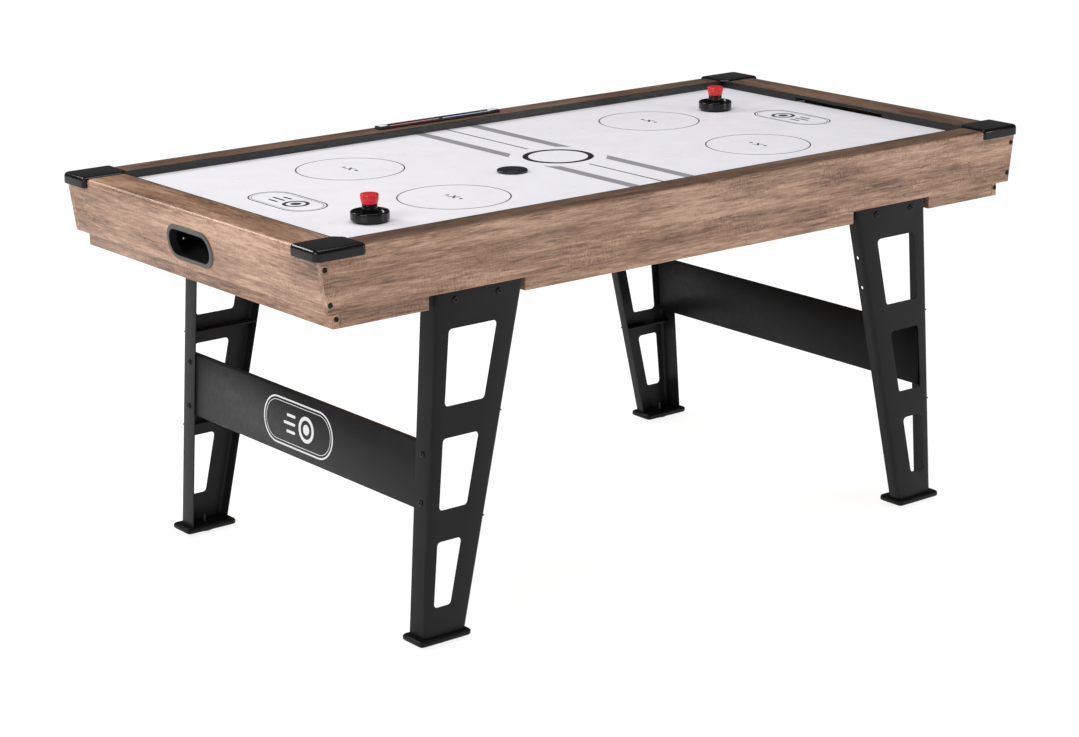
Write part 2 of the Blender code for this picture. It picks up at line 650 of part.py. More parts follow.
def impeller():
    """Paddle wheel on the motor shaft: a hub, a disc and straight blades."""
    half = BLADE_THICK / 2
    blade = rectangle(IMPELLER_HUB, -half, IMPELLER_RADIUS, half)
    outline = []
    for k in range(IMPELLER_BLADES):
        turn = Matrix.Rotation(math.tau * k / IMPELLER_BLADES, 2)
        outline += [tuple(turn @ Vector(point)) for point in blade]
    wheel = add("blower_impeller", prism(outline, IMPELLER_LOW, IMPELLER_HIGH), MATTE_BLACK)
    disc = prism(circle(IMPELLER_RADIUS - 0.002, 24), IMPELLER_LOW + 0.0005, IMPELLER_LOW + 0.003)
    join(wheel, "impeller_disc", disc)
    bore = prism(circle(SHAFT_RADIUS + GAP, 12), IMPELLER_LOW - OVERCUT, SHAFT_TOP + GAP)
    cut(wheel, "impeller_bore", bore)


def panel_outline(grow_x, grow_y):
    """Outline of the power box, grown by a margin each way."""
    half_x, half_y = PANEL_HALF_LENGTH + grow_x, PANEL_HALF_WIDTH + grow_y
    return rectangle(PANEL_X - half_x, PANEL_Y - half_y, PANEL_X + half_x, PANEL_Y + half_y)


def power_box():
    """Box under the air chamber; its rocker switch and mains inlet face down."""
    top = CHAMBER_BOTTOM - GAP
    ears = rounded(panel_outline(PANEL_EAR, 0.0), PANEL_EAR / 2, 3)
    panel = add("power_box", prism(ears, top - PANEL_WALL, top), MATTE_BLACK)
    body = prism(panel_outline(0.0, 0.0), PANEL_FACE, top - PANEL_WALL / 2)
    join(panel, "box_body", body)
    for name, offset in (("switch_bay", SWITCH_OFFSET), ("inlet_bay", INLET_OFFSET)):
        x = PANEL_X + offset
        bay = rectangle(x - BAY_HALF, PANEL_Y - BAY_HALF, x + BAY_HALF, PANEL_Y + BAY_HALF)
        cut(panel, name, prism(bay, PANEL_FACE - OVERCUT, PANEL_FACE + BAY_DEPTH))
    for offset in (-1, 1):
        x = PANEL_X + offset * (PANEL_HALF_LENGTH + PANEL_EAR / 2)
        hole = prism(circle(EAR_HOLE_RADIUS, 12, (x, PANEL_Y)), top - 2 * PANEL_WALL, top + PANEL_WALL)
        cut(panel, f"ear_hole_{offset + 1}", hole)
    rocker()
    inlet()


def rocker():
    """Rocker switch; its origin is on its hinge, which runs along X."""
    half = SOCKET_HALF
    back, lift, dip = 0.007, -0.0035, -0.001
    outline = [(-0.006, back), (0.006, back), (half, 0.0), (half, lift), (0.0, dip), (-half, lift),
               (-half, 0.0)]
    hinge = (PANEL_X + SWITCH_OFFSET, PANEL_Y, PANEL_FACE + SWITCH_HINGE_DEPTH)
    add("power_switch", prism(outline, -half, half, "YZ"), RED, hinge)


def inlet():
    """Two-pin mains socket: a block with a recess for the plug."""
    low = PANEL_FACE - SOCKET_PROUD
    x = PANEL_X + INLET_OFFSET
    half = SOCKET_HALF + SOCKET_WALL
    block = rectangle(x - half, PANEL_Y - half, x + half, PANEL_Y + half)
    socket = add("power_inlet", prism(block, low, low + INLET_DEPTH), MATTE_BLACK)
    wide, narrow = SOCKET_HALF, SOCKET_SLOT_HALF
    slot = rectangle(x - wide, PANEL_Y - narrow, x + wide, PANEL_Y + narrow)
    outline = rounded(slot, narrow - 0.0005, 3)
    recess = prism(outline, low - OVERCUT, low + SOCKET_DEPTH)
    cut(socket, "inlet_recess", recess)


# ---------------------------------------------------------------- score counter

def score_counter():
    """Channel on the back rail with a sliding marker for each player."""
    base = RAIL_TOP + GAP
    low_y, high_y = SCORE_Y - SCORE_HALF_WIDTH, SCORE_Y + SCORE_HALF_WIDTH
    channel = box((-SCORE_HALF_LENGTH, low_y, base), (SCORE_HALF_LENGTH, high_y, base + SCORE_LIP))
    track = add("score_track", channel, MATTE_BLACK)
    bevel(track, 0.001, 1)
    wall = SCORE_WALL
    for end, sign in ENDS.items():
        low, high = sorted((sign * SCORE_STOP, sign * (SCORE_HALF_LENGTH - SCORE_STOP)))
        groove = box((low, low_y + wall, base + SCORE_BASE), (high, high_y - wall, base + SCORE_LIP * 2))
        cut(track, f"score_groove_{end}", groove)
        half = SCORE_HALF_WIDTH - wall - GAP
        slider = box((-SLIDER_HALF_LENGTH, -half, base + SCORE_BASE + GAP - RAIL_TOP),
                     (SLIDER_HALF_LENGTH, half, base + SCORE_LIP + SLIDER_PROUD - RAIL_TOP))
        marker = add(f"score_marker_{end}", slider, CLEAR_WHITE, (sign * SLIDER_START, SCORE_Y, RAIL_TOP))
        bevel(marker, 0.001, 1)


# ---------------------------------------------------------------- loose pieces

def pusher(name, place):
    """Pusher: felt pad, dished black base with a neck, and a red knob."""
    floor = FIELD_TOP + GAP
    at = (*place, floor)
    radius = PUSHER_RADIUS
    pad_radius = radius - 0.004
    pad = [(0, 0), (pad_radius, 0), (pad_radius, PUSHER_PAD), (0, PUSHER_PAD)]
    add(f"pusher_pad_{name}", turned(pad, 20), FELT, at, round_shape=True)
    low = PUSHER_PAD + GAP
    rim, neck = PUSHER_RIM, PUSHER_NECK_RADIUS
    base = [(0, low), (radius - 0.002, low), (radius, low + 0.003), (radius, rim - 0.002),
            (radius - 0.002, rim), (radius - 0.004, rim), (radius - 0.008, 0.012), (neck + 0.004, 0.010),
            (neck + 0.0005, 0.014), (neck, PUSHER_NECK_TOP), (0, PUSHER_NECK_TOP)]
    add(f"pusher_base_{name}", turned(base, 24), GLOSS_BLACK, at, round_shape=True)
    bottom, top = PUSHER_NECK_TOP + GAP, PUSHER_HEIGHT
    knob = [(0, bottom), (neck + 0.0005, bottom), (neck + 0.0025, bottom + 0.008), (0.018, top - 0.003),
            (0.017, top - 0.001), (0.013, top), (0, top)]
    add(f"pusher_knob_{name}", turned(knob, 20), RED, at, round_shape=True)


def puck():
    """Flat puck with chamfered edges."""
    edge, high = 0.0012, PUCK_THICK
    profile = [(0, 0), (PUCK_RADIUS - edge, 0), (PUCK_RADIUS, edge), (PUCK_RADIUS, high - edge),
               (PUCK_RADIUS - edge, high), (0, high)]
    add("puck", turned(profile, 24), MATTE_BLACK, (*PUCK_PLACE, FIELD_TOP + GAP), round_shape=True)


# ---------------------------------------------------------------- assembly

playfield()
bumpers()
under_frame()
for side_name, side_direction in SIDES.items():
    side_rail(side_name, side_direction)
    cabinet_side(side_name, side_direction)
for end_name, end_direction in ENDS.items():
    end_rail(end_name, end_direction)
    return_bezel(end_name, end_direction)
    return_tray(end_name, end_direction)
    cabinet_end(end_name, end_direction)
    stretcher(end_name, end_direction)
    for side_name, side_direction in SIDES.items():
        corner_cap(end_name, end_direction, side_name, side_direction)
        leg(end_name, end_direction, side_name, side_direction)
        foot(end_name, end_direction, side_name, side_direction)
blower()
power_box()
score_counter()
puck()
for pusher_name, pusher_place in PUSHER_PLACES.items():
    pusher(pusher_name, pusher_place)
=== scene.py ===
"""Looks of the air hockey table: materials, printed markings, fasteners, light and camera."""
import math

import bmesh
import bpy
from mathutils import Matrix, Vector


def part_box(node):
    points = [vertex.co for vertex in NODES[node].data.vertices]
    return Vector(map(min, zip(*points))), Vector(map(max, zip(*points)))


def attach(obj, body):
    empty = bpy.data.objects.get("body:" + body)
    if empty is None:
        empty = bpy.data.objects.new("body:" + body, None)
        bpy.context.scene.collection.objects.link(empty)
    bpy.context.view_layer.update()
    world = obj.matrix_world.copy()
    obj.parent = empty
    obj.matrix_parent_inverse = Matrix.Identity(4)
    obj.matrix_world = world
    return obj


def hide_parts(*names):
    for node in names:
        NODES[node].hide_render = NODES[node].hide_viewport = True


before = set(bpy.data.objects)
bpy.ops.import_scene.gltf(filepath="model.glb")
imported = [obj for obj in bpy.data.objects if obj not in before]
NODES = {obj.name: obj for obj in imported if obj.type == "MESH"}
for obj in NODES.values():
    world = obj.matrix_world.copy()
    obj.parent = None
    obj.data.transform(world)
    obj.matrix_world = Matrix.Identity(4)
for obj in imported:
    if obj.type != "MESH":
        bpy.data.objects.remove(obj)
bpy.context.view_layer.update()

# Camera: lens and sensor width in millimetres, shift as a share of the picture's width
CAMERA_SENSOR = 36.0
CAMERA_LENS = 89.183
CAMERA_SHIFT = (-0.02873, -0.0013)
CAMERA_PLACE = (-3.4368, -4.3045, 1.9005)
CAMERA_YAW = math.radians(38.84)
CAMERA_PITCH = math.radians(15.88)
CAMERA_ROLL = math.radians(-0.44)

# Share of each layer of grain in the wood's tone
GRAIN_SHARE = 0.34

# Playfield markings
FIELD_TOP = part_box("playfield")[1].z
FIELD_HALF_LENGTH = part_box("bumper_right")[0].x
FIELD_HALF_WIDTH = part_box("bumper_back")[0].y
INK_LOW, INK_HIGH = 0.00002, 0.00014
CENTRE_RING = 0.075
CENTRE_RING_LINE = 0.012
CLEAR_CIRCLE = 0.103
CENTRE_LINE = 0.0045
BAND = (0.060, 0.085)
FACE_OFF_RADIUS = 0.113
FACE_OFF_LINE = 0.0026
FACE_OFF_PLACES = [(x, y) for x in (-0.404, 0.404) for y in (-0.179, 0.179)]
BADGE_X = 0.674
BADGE_LENGTH, BADGE_WIDTH = 0.206, 0.096
BADGE_PUCK = 0.027
AIR_HOLE_PITCH = 0.0254
AIR_HOLE_RADIUS = 0.0004
AIR_HOLE_HEIGHT = 0.00016

# Corner caps
CAP_ROUND = 0.014
CAP_INNER_ROUND = 0.009
CAP_CHAMFER = 0.018
CAP_EDGE = 0.008
CAP_EDGE_STEPS = 9
CAP_RIM = 0.0008
CAP_PLATE = 0.0037
CAP_WALL = 0.0083

# Rails and puck return
RAIL_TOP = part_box("side_rail_front")[1].z
RAIL_TOP_EDGE = (RAIL_TOP - 0.0030, RAIL_TOP - 0.0003)
# Limits of the near black painted shade on the faces inside the goal slot
GOAL_BACK_X = 0.8855
GOAL_SIDE_Y = 0.4400
GOAL_ROOF_Z = FIELD_TOP + 0.0100
SKIRT_BOARD_TOP = 0.6895
RETURN_ROUND = 0.024
BEZEL_WIDTH = 0.010

# Bolts and screws: radius and height of the heads, and where they stand; FLANGE_FOOT is the (x, z) of
# the leaning leg flange at its lower end
LEG_BOLT = (0.0065, 0.0032)
LEG_BOLT_X = (0.601, 0.499)
LEG_BOLT_Z = 0.671
LEG_FACE_Y = 0.4438
STRETCHER_BOLT = (0.0062, 0.003)
STRETCHER_BOLT_Y = 0.418
STRETCHER_BOLT_Z = (0.377, 0.282)
FLANGE_FOOT = (0.6886, 0.0196)
CORNER_SCREW = (0.0052, 0.0022)
RAIL_SCREW_PLACES = ((0.894, 0.775), (0.885, 0.709))
RAIL_SCREW_Y = 0.456
SKIRT_SCREW_PLACE = (0.863, 0.441, 0.677)
RETURN_SCREW = (0.0034, 0.0016)
RETURN_SCREW_PLACES = ((0.872, 0.756), (0.870, 0.738))
RETURN_SCREW_INSET = 0.0170

# Score counter
STRIP_X = (0.005, 0.137)
STRIP_Y = (0.0081, 0.0107)
STRIP_Z = (-0.0008, 0.00012)
TICK_COUNT = 10
TICK_START, TICK_PITCH = 0.010, 0.012
TICK_HALF_WIDTH, TICK_HALF_LENGTH = 0.0006, 0.005

# Sides of the table
ENDS = {"left": -1, "right": 1}
SIDES = {"front": -1, "back": 1}
CORNERS = [(end, e, side, s) for end, e in ENDS.items() for side, s in SIDES.items()]
LEG_LEAN = 0.0675


# ---------------------------------------------------------------- materials

class Surface:
    """A procedural material that is put together from noise in the object's own coordinates."""

    def __init__(self, name, roughness, metallic=0.0, specular=0.5):
        self.material = bpy.data.materials.new(name)
        self.material.use_nodes = True
        self.tree = self.material.node_tree
        self.shader = self.tree.nodes["Principled BSDF"]
        self.set("Roughness", roughness)
        self.set("Metallic", metallic)
        self.set("Specular IOR Level", specular)
        self.place = self.tree.nodes.new("ShaderNodeTexCoord").outputs["Object"]

    def set(self, socket, value):
        self.shader.inputs[socket].default_value = value

    def link(self, source, target):
        self.tree.links.new(source, target)

    def node(self, kind, **settings):
        made = self.tree.nodes.new(kind)
        for name, value in settings.items():
            setattr(made, name, value)
        return made

    def stretched(self, scale, offset=(0.0, 0.0, 0.0)):
        """Object coordinates, scaled along each axis."""
        made = self.node("ShaderNodeMapping")
        made.inputs["Scale"].default_value = scale
        made.inputs["Location"].default_value = offset
        self.link(self.place, made.inputs["Vector"])
        return made.outputs["Vector"]

    def noise(self, where, scale, detail=4.0, roughness=0.5, distortion=0.0):
        made = self.node("ShaderNodeTexNoise")
        made.inputs["Scale"].default_value = scale
        made.inputs["Detail"].default_value = detail
        made.inputs["Roughness"].default_value = roughness
        made.inputs["Distortion"].default_value = distortion
        self.link(where, made.inputs["Vector"])
        return made.outputs["Fac"]

    def scaled(self, value, low_in, high_in, low_out, high_out):
        """Maps a value from one range to another, held inside the new range."""
        made = self.node("ShaderNodeMapRange")
        self.link(value, made.inputs["Value"])
        limits = {"From Min": low_in, "From Max": high_in, "To Min": low_out, "To Max": high_out}
        for name, number in limits.items():
            made.inputs[name].default_value = number
        return made.outputs["Result"]

    def calc(self, operation, first, second=0.0):
        """One step of arithmetic on links or numbers; ABSOLUTE and SQRT use the first value only."""
        made = self.node("ShaderNodeMath", operation=operation)
        for i, value in enumerate((first, second)):
            if isinstance(value, (int, float)):
                made.inputs[i].default_value = value
            else:
                self.link(value, made.inputs[i])
        return made.outputs[0]

    def ramp(self, value, stops):
        """Colours at places along a value from 0 to 1."""
        made = self.node("ShaderNodeValToRGB")
        band = made.color_ramp
        while len(band.elements) < len(stops):
            band.elements.new(0.5)
        for element, (place, colour) in zip(band.elements, stops):
            element.position = place
            element.color = (*colour, 1.0)
        self.link(value, made.inputs["Fac"])
        return made.outputs["Color"]

    def mixed(self, share, first, second, blend="MIX"):
        made = self.node("ShaderNodeMix", data_type="RGBA", blend_type=blend)
        for name, value in (("Factor", share), ("A", first), ("B", second)):
            socket = [s for s in made.inputs if s.name == name and s.enabled][0]
            if isinstance(value, (int, float)):
                socket.default_value = value
            elif isinstance(value, tuple):
                socket.default_value = (*value, 1.0)
            else:
                self.link(value, socket)
        return [s for s in made.outputs if s.enabled][0]

    def relief(self, height, depth):
        """Surface relief of a given depth in metres."""
        made = self.node("ShaderNodeBump")
        made.inputs["Distance"].default_value = depth
        self.link(height, made.inputs["Height"])
        self.link(made.outputs["Normal"], self.shader.inputs["Normal"])

    def colour(self, source):
        self.link(source, self.shader.inputs["Base Color"])

    def shine(self, source):
        self.link(source, self.shader.inputs["Roughness"])


def shade(colour, factor):
    """A colour made lighter or darker."""
    return tuple(min(1.0, c * factor) for c in colour)


def moulded(name, colour, roughness, spread, grain, depth, metallic=0.0, specular=0.5, tone_scale=9.0):
    """Plastic or paint: a slightly uneven tone, uneven gloss and a fine surface texture."""
    surface = Surface(name, roughness, metallic, specular)
    tone = surface.noise(surface.place, tone_scale, 5.0, 0.6)
    surface.colour(surface.ramp(tone, [(0.3, shade(colour, 1 - spread)), (0.7, shade(colour, 1 + spread))]))
    patches = surface.noise(surface.place, tone_scale * 6, 4.0, 0.6)
    surface.shine(surface.scaled(patches, 0.3, 0.7, roughness * 0.88, roughness * 1.12))
    surface.relief(surface.noise(surface.place, grain, 3.0, 0.6), depth)
    return surface.material


def laminate(name, along, light, top, shine=0.42):
    """Limed oak laminate with grain along one axis; `light` scales the tone of each copy as painted light
    and shade, and `top` sets the tone of the rail's upper face, partly a darker print and partly painted
    shade and light.
    """
    surface = Surface(name, shine, specular=0.45)

    def grain(stretch, offset=(0.0, 0.0, 0.0)):
        scale = (stretch, 1.0, 1.0) if along == "X" else (1.0, stretch, 1.0)
        return surface.stretched(scale, offset)

    broad = surface.noise(grain(0.14), 20.0, 3.0, 0.5, 0.5)
    streaks = surface.noise(grain(0.07, (0.3, 0.7, 0.1)), 150.0, 5.0, 0.65, 0.5)
    fibres = surface.noise(grain(0.10, (1.3, 0.2, 0.5)), 330.0, 5.0, 0.75)
    cuts = surface.noise(grain(3.0, (2.1, 1.7, 0.4)), 120.0, 4.0, 0.6)
    patches = surface.noise(grain(0.5, (5.0, 3.0, 1.0)), 14.0, 3.0, 0.5)
    cut_patches = surface.scaled(patches, 0.40, 0.62, 0.2, 1.0)
    tone = surface.calc("MULTIPLY", broad, GRAIN_SHARE)
    for layer in (streaks, fibres):
        tone = surface.calc("ADD", tone, surface.calc("MULTIPLY", layer, GRAIN_SHARE))
    ticks = surface.calc("MULTIPLY", surface.calc("SUBTRACT", cuts, 0.5),
                         surface.calc("MULTIPLY", cut_patches, 0.26))
    tone = surface.calc("ADD", tone, ticks)
    # `light` scales every colour of the grain: lit and shaded copies per side, painted light and shade
    wood = surface.ramp(tone, [
        (0.40, shade((0.100, 0.049, 0.029), light)),
        (0.46, shade((0.250, 0.135, 0.083), light)),
        (0.53, shade((0.385, 0.221, 0.141), light)),
        (0.60, shade((0.560, 0.358, 0.247), light))])
    marks = surface.noise(grain(0.08, (4.0, 9.0, 2.0)), 170.0, 5.0, 0.7, 0.5)
    dark_marks = surface.scaled(marks, 0.60, 0.68, 0.0, 0.75)
    wood = surface.mixed(dark_marks, wood, shade((0.105, 0.051, 0.031), light))
    place = surface.node("ShaderNodeSeparateXYZ")
    surface.link(surface.place, place.inputs[0])
    # Upper face of the rail: a darker print, with a tone per side that also paints the light and shade it
    # gets
    upper = surface.scaled(place.outputs["Z"], *RAIL_TOP_EDGE, 0.0, 1.0)
    top_print_and_shade = surface.mixed(1.0, wood, (top, top * 0.97, top * 0.93), "MULTIPLY")
    wood = surface.mixed(upper, wood, top_print_and_shade)
    # Painted shade: the inner faces round the goal slot are painted near black
    if along == "Y":
        wood = surface.mixed(goal_slot_painted_shade(surface, place), wood, (0.010, 0.010, 0.010))
    surface.colour(wood)
    surface.shine(surface.scaled(streaks, 0.3, 0.7, shine * 0.85, shine * 1.2))
    surface.relief(surface.calc("ADD", fibres, surface.calc("MULTIPLY", ticks, 2.0)), 0.00022)
    return surface.material


def goal_slot_painted_shade(surface, place):
    """1 on the inner faces of an end rail round the goal slot, which are painted near black as shade, and 0
    elsewhere.
    """
    reach = surface.calc("ABSOLUTE", place.outputs["X"])
    across = surface.calc("ABSOLUTE", place.outputs["Y"])
    height = place.outputs["Z"]
    below_roof = surface.scaled(height, GOAL_ROOF_Z - 0.0002, GOAL_ROOF_Z, 1.0, 0.0)
    above_skirt = surface.scaled(height, SKIRT_BOARD_TOP - 0.0002, SKIRT_BOARD_TOP + 0.0002, 0.0, 1.0)
    inside_x = surface.scaled(reach, GOAL_BACK_X, GOAL_BACK_X + 0.0005, 1.0, 0.0)
    inside_y = surface.scaled(across, GOAL_SIDE_Y, GOAL_SIDE_Y + 0.0005, 1.0, 0.0)
    inside = surface.calc("MULTIPLY", below_roof, surface.calc("MULTIPLY", inside_x, inside_y))
    return surface.calc("MULTIPLY", inside, above_skirt)


def bezel_plastic(name):
    """Plastic with a grey outer face; the wall inside the opening is painted black as shade."""
    surface = Surface(name, 0.50, specular=0.35)
    low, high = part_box("return_bezel_left")
    place = surface.node("ShaderNodeSeparateXYZ")
    surface.link(surface.place, place.inputs[0])
    half_width = high.y - BEZEL_WIDTH
    half_height = (high.z - low.z) / 2 - BEZEL_WIDTH
    squares = []
    for axis, middle, half in (("Y", 0.0, half_width), ("Z", (low.z + high.z) / 2, half_height)):
        away = surface.calc("ABSOLUTE", surface.calc("SUBTRACT", place.outputs[axis], middle))
        past = surface.calc("MAXIMUM", surface.calc("SUBTRACT", away, half - RETURN_ROUND), 0.0)
        squares.append(surface.calc("MULTIPLY", past, past))
    reach = surface.calc("SQRT", surface.calc("ADD", *squares))
    outside = surface.scaled(reach, RETURN_ROUND + 0.0006, RETURN_ROUND + 0.0016, 0.0, 1.0)
    speckle = surface.noise(surface.place, 700.0, 3.0, 0.6)
    grey = surface.ramp(speckle, [(0.3, (0.072, 0.065, 0.058)), (0.7, (0.092, 0.083, 0.075))])
    # Painted shade: near black on the wall inside the opening, grey on the outer face
    surface.colour(surface.mixed(outside, (0.008, 0.008, 0.008), grey))
    surface.relief(speckle, 0.00005)
    return surface.material


def fibreboard(name):
    """Raw fibreboard under the table."""
    surface = Surface(name, 0.8, specular=0.2)
    chips = surface.noise(surface.stretched((0.5, 1.0, 1.0)), 260.0, 5.0, 0.7)
    surface.colour(surface.ramp(chips, [
        (0.3, (0.30, 0.20, 0.11)),
        (0.5, (0.47, 0.34, 0.21)),
        (0.7, (0.62, 0.48, 0.32))]))
    surface.relief(chips, 0.00015)
    return surface.material


def brushed(name, colour, roughness, metallic, along):
    """Metal strip with fine lines along one axis."""
    surface = Surface(name, roughness, metallic, 0.35)
    scale = {"X": (0.02, 1, 1), "Y": (1, 0.02, 1), "Z": (1, 1, 0.02)}[along]
    lines = surface.noise(surface.stretched(scale), 1600.0, 3.0, 0.6)
    surface.colour(surface.ramp(lines, [(0.3, shade(colour, 0.8)), (0.7, shade(colour, 1.25))]))
    surface.shine(surface.scaled(lines, 0.3, 0.7, roughness * 0.85, roughness * 1.2))
    surface.relief(lines, 0.00003)
    return surface.material


# Lit and shaded copies of one laminate: per side, the second number scales the whole tone and the third the
# upper face, as painted light and shade
WOOD_LEFT = laminate("oak_left", "Y", 0.93, 0.86, 0.33)
WOOD_RIGHT = laminate("oak_right", "Y", 0.95, 0.48)
WOOD_FRONT = laminate("oak_front", "X", 0.86, 0.45)
WOOD_BACK = laminate("oak_back", "X", 0.95, 0.45)
BOARD = fibreboard("fibreboard")
BLACK_BOARD = moulded("black_laminate", (0.015, 0.0145, 0.0155), 0.42, 0.12, 500.0, 0.00005, specular=0.2)
# Darker copy of the black laminate for the right stretcher: painted shade for the shade under the table
SHADED_BOARD = moulded("black_laminate_painted_shade", (0.006, 0.006, 0.0065), 0.45, 0.12, 500.0, 0.00005,
                       specular=0.12)
FIELD = moulded("white_field", (0.90, 0.885, 0.925), 0.30, 0.012, 1500.0, 0.000008,
                specular=0.4, tone_scale=3.0)
INK_BLACK = moulded("black_ink", (0.014, 0.014, 0.016), 0.4, 0.15, 700.0, 0.00001, specular=0.3)
INK_GREY = moulded("grey_ink", (0.300, 0.292, 0.318), 0.4, 0.03, 700.0, 0.00001, specular=0.3)
INK_LINE = moulded("dark_grey_ink", (0.050, 0.050, 0.058), 0.4, 0.10, 700.0, 0.00001, specular=0.3)
HOLE_GREY = moulded("hole_shadow", (0.62, 0.61, 0.63), 0.6, 0.05, 700.0, 0.00001, specular=0.2)
INK_WHITE = moulded("white_ink", (0.72, 0.72, 0.74), 0.45, 0.03, 700.0, 0.00001, specular=0.3)
BUMPER_BLACK = brushed("black_bumper", (0.010, 0.010, 0.010), 0.38, 0.0, "X")
CAP_PLASTIC = moulded("cap_plastic", (0.004, 0.004, 0.004), 0.17, 0.10, 350.0, 0.00002, specular=0.29)
BEZEL_GREY = bezel_plastic("bezel_grey")
FOOT_BLACK = moulded("foot_black", (0.004, 0.004, 0.0042), 0.42, 0.12, 800.0, 0.00005, specular=0.16)
BLACK_PLASTIC = moulded("textured_black", (0.020, 0.020, 0.021), 0.5, 0.12, 1400.0, 0.00006, specular=0.35)
GLOSS_PLASTIC = moulded("pusher_plastic", (0.004, 0.004, 0.0045), 0.16, 0.15, 120.0, 0.00002, specular=0.32)
LEG_PAINT = moulded("leg_powder_coat", (0.0105, 0.0100, 0.0112), 0.40, 0.10, 800.0, 0.00006, specular=0.15)
RED_PLASTIC = moulded("red_plastic", (0.66, 0.010, 0.016), 0.28, 0.10, 120.0, 0.00002)
BOLT_BLACK = moulded("black_fastener", (0.012, 0.012, 0.012), 0.34, 0.15, 900.0, 0.00002, metallic=0.6)
STEEL = brushed("satin_steel", (0.55, 0.55, 0.55), 0.30, 1.0, "Z")
FELT = moulded("felt", (0.03, 0.03, 0.03), 0.95, 0.35, 2500.0, 0.0002, specular=0.1)
PUCK_BLACK = moulded("puck_plastic", (0.010, 0.010, 0.012), 0.32, 0.20, 300.0, 0.00003, specular=0.4)
STRIP_RED = moulded("red_strip", (0.78, 0.30, 0.32), 0.35, 0.04, 500.0, 0.00001)
STRIP_BLUE = moulded("blue_strip", (0.62, 0.68, 0.88), 0.35, 0.04, 500.0, 0.00001)
MARKER_WHITE = moulded("marker_plastic", (0.74, 0.74, 0.74), 0.3, 0.03, 400.0, 0.00002)

NODE_LOOKS = [
    ("side_rail_front", WOOD_FRONT), ("side_rail_back", WOOD_BACK), ("end_rail_left", WOOD_LEFT),
    ("end_rail_right", WOOD_RIGHT), ("cabinet_side_front", WOOD_FRONT), ("cabinet_side_back", WOOD_BACK),
    ("cabinet_end_left", WOOD_LEFT), ("cabinet_end_right", WOOD_RIGHT), ("leg_beam", BOARD),
    ("support_rib", BOARD), ("air_chamber", BOARD), ("stretcher_right", SHADED_BOARD),
    ("stretcher", BLACK_BOARD), ("playfield", FIELD),
    ("bumper", BUMPER_BLACK), ("corner_cap", CAP_PLASTIC), ("pusher_base", GLOSS_PLASTIC),
    ("return_bezel", BEZEL_GREY), ("foot_plate", FOOT_BLACK),
    ("leg_", LEG_PAINT), ("pusher_knob", RED_PLASTIC), ("power_switch", RED_PLASTIC),
    ("score_marker", MARKER_WHITE), ("pusher_pad", FELT), ("blower_motor", STEEL), ("puck", PUCK_BLACK)]
USUAL_EDGE = 0.0006
EDGES = {"corner_cap": 0.0, "end_rail": 0.0028, "side_rail": 0.0016, "pusher": 0.0, "puck": 0.0,
         "blower": 0.0004, "leveler": 0.0003, "playfield": 0.0003, "leg_front": 0.0004, "leg_back": 0.0004,
         "score_marker": 0.0, "score_track": 0.0, "cabinet": 0.0012, "stretcher": 0.0}


# ---------------------------------------------------------------- helpers

def starting(name, table, default):
    """The first value in a table whose key the name starts with."""
    for start, value in table:
        if name.startswith(start):
            return value
    return default


def dress(name, node):
    """Gives a CAD node its material and, by modifiers alone, merged faces and softened edges."""
    node.data.materials.clear()
    node.data.materials.append(starting(name, NODE_LOOKS, BLACK_PLASTIC))
    custom = node.data.attributes.get("custom_normal")
    if custom:
        node.data.attributes.remove(custom)
    node.data.shade_smooth()
    weld = node.modifiers.new("weld", "WELD")
    weld.merge_threshold = 0.00001
    flat = node.modifiers.new("merge_faces", "DECIMATE")
    flat.decimate_type = "DISSOLVE"
    flat.angle_limit = math.radians(0.3)
    width = starting(name, EDGES.items(), USUAL_EDGE)
    if width:
        edge = node.modifiers.new("edges", "BEVEL")
        edge.width = width
        edge.segments = 2
        edge.limit_method = "ANGLE"
        edge.angle_limit = math.radians(35)
        edge.harden_normals = True


for node_name, node_object in NODES.items():
    dress(node_name, node_object)


def add(name, bm, mat, body="table", smooth=True, angle=35):
    """Makes a piece from a bmesh, in the row frame, riding on a CAD body."""
    bmesh.ops.recalc_face_normals(bm, faces=bm.faces)
    mesh = bpy.data.meshes.new(name)
    bm.to_mesh(mesh)
    bm.free()
    if smooth:
        mesh.shade_smooth()
        mesh.set_sharp_from_angle(angle=math.radians(angle))
    mesh.materials.append(mat)
    obj = bpy.data.objects.new(name, mesh)
    bpy.context.scene.collection.objects.link(obj)
    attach(obj, body)
    return obj


def circle(radius, count, centre=(0.0, 0.0)):
    """Points round a circle."""
    turns = [math.tau * k / count for k in range(count)]
    return [(centre[0] + radius * math.cos(t), centre[1] + radius * math.sin(t)) for t in turns]


def stadium(half_length, half_width, count):
    """Outline of a bar with round ends, long along the first axis."""
    points = []
    straight = half_length - half_width
    for end in (1, -1):
        for k in range(count + 1):
            t = -math.pi / 2 + math.pi * k / count
            points.append((end * (straight + half_width * math.cos(t)), end * half_width * math.sin(t)))
    return points


def rounded(corners, radii, steps):
    """A polygon's outline with each corner turned into an arc."""
    outline = []
    count = len(corners)
    for i, corner in enumerate(corners):
        here = Vector(corner)
        back = (Vector(corners[i - 1]) - here).normalized()
        ahead = (Vector(corners[(i + 1) % count]) - here).normalized()
        half = back.angle(ahead) / 2
        centre = here + (back + ahead).normalized() * radii[i] / math.sin(half)
        start = here + back * radii[i] / math.tan(half) - centre
        end = here + ahead * radii[i] / math.tan(half) - centre
        turn = math.atan2(start.x * end.y - start.y * end.x, start.dot(end))
        outline += [tuple(centre + Matrix.Rotation(turn * k / steps, 2) @ start) for k in range(steps + 1)]
    return outline


def join_rings(bm, low, high):
    """Faces between two rings of points."""
    for i in range(len(low)):
        j = (i + 1) % len(low)
        bm.faces.new((low[i], low[j], high[j], high[i]))


def loft(rings):
    """A closed solid through rings of equal length."""
    bm = bmesh.new()
    layers = [[bm.verts.new(p) for p in ring] for ring in rings]
    bm.faces.new(layers[0])
    bm.faces.new(layers[-1])
    for low, high in zip(layers, layers[1:]):
        join_rings(bm, low, high)
    return bm


